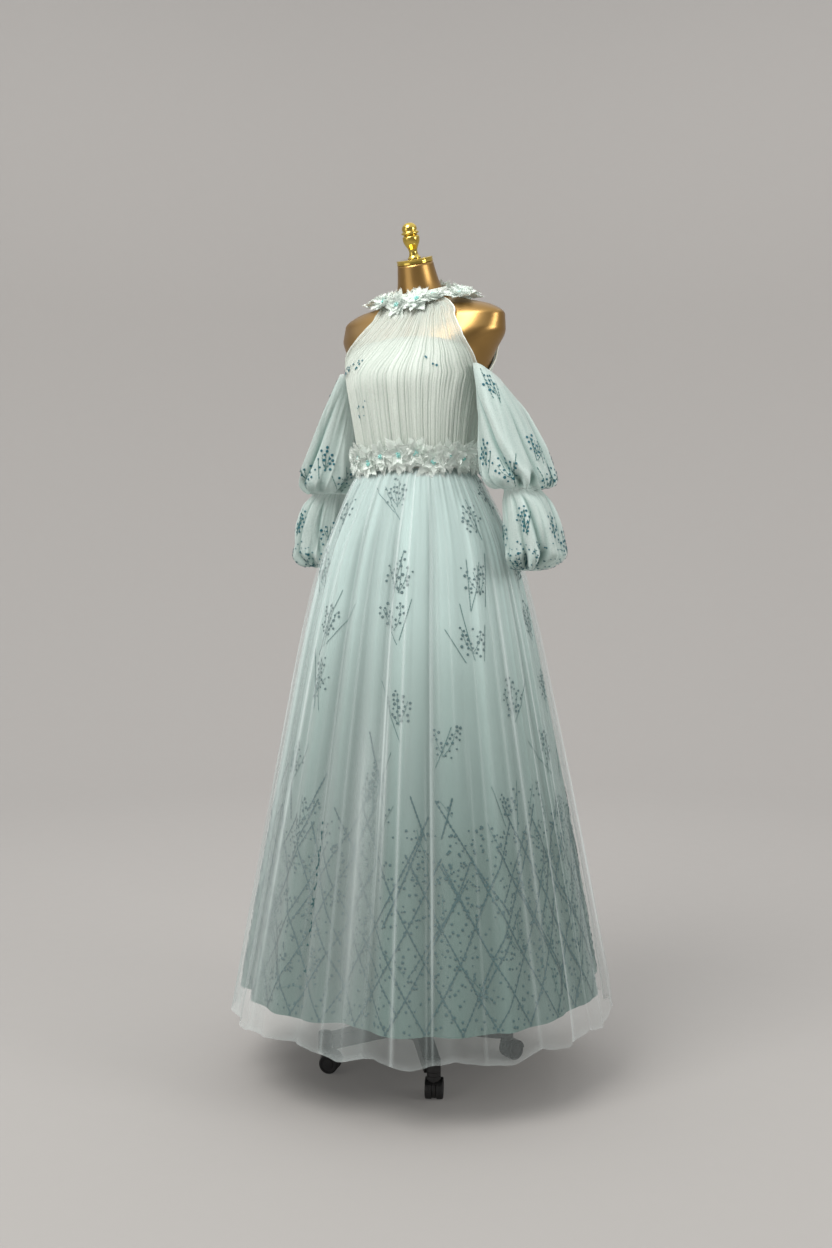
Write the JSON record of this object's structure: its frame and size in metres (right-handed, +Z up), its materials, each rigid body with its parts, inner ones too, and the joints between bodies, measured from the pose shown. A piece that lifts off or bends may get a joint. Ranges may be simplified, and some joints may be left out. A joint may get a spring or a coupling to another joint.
{
  "type": "evening dress on a dress form",
  "caption": "Pale mint tulle evening dress with a halter neck, flower collar and belt, balloon sleeves and a long embroidered skirt, on a gold dress form with casters.",
  "frame": {"origin": "on the floor, under the middle of the skirt's hem", "axes": "+Z up; the dress faces -Y; +X is the dress's own left side"},
  "size_m": [0.8182, 0.8132, 1.7758],
  "materials": {
    "gold_satin_form": "satin gold cover over a moulded shell",
    "polished_brass": "polished",
    "gathered_mint_tulle": "soft gathered tulle, matte",
    "mint_lining": "smooth lining, matte",
    "ivory_organza": "crisp pleated organza",
    "plain_overlay_tulle": "sheer tulle, matte",
    "embroidered_mint_tulle": "tulle with teal embroidery",
    "black_painted_steel": "satin paint",
    "black_moulded_plastic": "fine grain",
    "black_caster_rubber": "matte"
  },
  "bodies": {
    "dress_and_form": {"form_torso": "gold_satin_form", "form_neck_cap": "polished_brass", "form_finial": "polished_brass", "bodice_front": "gathered_mint_tulle", "bodice_back": "gathered_mint_tulle", "lining_front": "mint_lining", "lining_back": "mint_lining", "collar_band": "gathered_mint_tulle", "waistband": "gathered_mint_tulle", "belt_piping": "gathered_mint_tulle", "collar_flower_1": "ivory_organza", "collar_flower_2": "ivory_organza", "collar_flower_3": "ivory_organza", "collar_flower_4": "ivory_organza", "collar_flower_5": "ivory_organza", "collar_flower_6": "ivory_organza", "collar_flower_7": "ivory_organza", "waist_flower_1": "ivory_organza", "waist_flower_2": "ivory_organza", "waist_flower_3": "ivory_organza", "waist_flower_4": "ivory_organza", "waist_flower_5": "ivory_organza", "waist_flower_6": "ivory_organza", "waist_flower_7": "ivory_organza", "waist_flower_8": "ivory_organza", "waist_flower_9": "ivory_organza", "waist_flower_10": "ivory_organza", "waist_flower_11": "ivory_organza", "skirt_embroidered": "embroidered_mint_tulle", "skirt_overlay": "plain_overlay_tulle", "sleeve_upper_left": "gathered_mint_tulle", "sleeve_upper_right": "gathered_mint_tulle", "sleeve_lower_left": "gathered_mint_tulle", "sleeve_lower_right": "gathered_mint_tulle", "stand_pole": "black_painted_steel", "stand_hub": "black_painted_steel", "stand_leg_1": "black_painted_steel", "stand_leg_2": "black_painted_steel", "stand_leg_3": "black_painted_steel", "stand_leg_4": "black_painted_steel", "caster_socket_1": "black_moulded_plastic", "caster_socket_2": "black_moulded_plastic", "caster_socket_3": "black_moulded_plastic", "caster_socket_4": "black_moulded_plastic"},
    "swivel_1": {"caster_fork_1": "black_moulded_plastic"},
    "wheels_1": {"caster_wheels_1": "black_caster_rubber"},
    "swivel_2": {"caster_fork_2": "black_moulded_plastic"},
    "wheels_2": {"caster_wheels_2": "black_caster_rubber"},
    "swivel_3": {"caster_fork_3": "black_moulded_plastic"},
    "wheels_3": {"caster_wheels_3": "black_caster_rubber"},
    "swivel_4": {"caster_fork_4": "black_moulded_plastic"},
    "wheels_4": {"caster_wheels_4": "black_caster_rubber"}
  },
  "joints": [
    {"name": "caster_swivel_1", "type": "hinge", "parent": "dress_and_form", "child": "swivel_1", "pos_m": [0.13789, 0.11789, 0.055], "axis": [0, 0, 1], "continuous": true},
    {"name": "wheel_spin_1", "type": "hinge", "parent": "swivel_1", "child": "wheels_1", "pos_m": [0.14199, 0.12916, 0.02], "axis": [0.9397, -0.342, 0], "continuous": true},
    {"name": "caster_swivel_2", "type": "hinge", "parent": "dress_and_form", "child": "swivel_2", "pos_m": [-0.13789, 0.11789, 0.055], "axis": [0, 0, 1], "continuous": true},
    {"name": "wheel_spin_2", "type": "hinge", "parent": "swivel_2", "child": "wheels_2", "pos_m": [-0.14916, 0.11378, 0.02], "axis": [-0.342, 0.9397, 0], "continuous": true},
    {"name": "caster_swivel_3", "type": "hinge", "parent": "dress_and_form", "child": "swivel_3", "pos_m": [-0.13789, -0.15789, 0.055], "axis": [0, 0, 1], "continuous": true},
    {"name": "wheel_spin_3", "type": "hinge", "parent": "swivel_3", "child": "wheels_3", "pos_m": [-0.12661, -0.15378, 0.02], "axis": [0.342, -0.9397, 0], "continuous": true},
    {"name": "caster_swivel_4", "type": "hinge", "parent": "dress_and_form", "child": "swivel_4", "pos_m": [0.13789, -0.15789, 0.055], "axis": [0, 0, 1], "continuous": true},
    {"name": "wheel_spin_4", "type": "hinge", "parent": "swivel_4", "child": "wheels_4", "pos_m": [0.13189, -0.14749, 0.02], "axis": [0.866, 0.5, 0], "continuous": true}
  ]
}
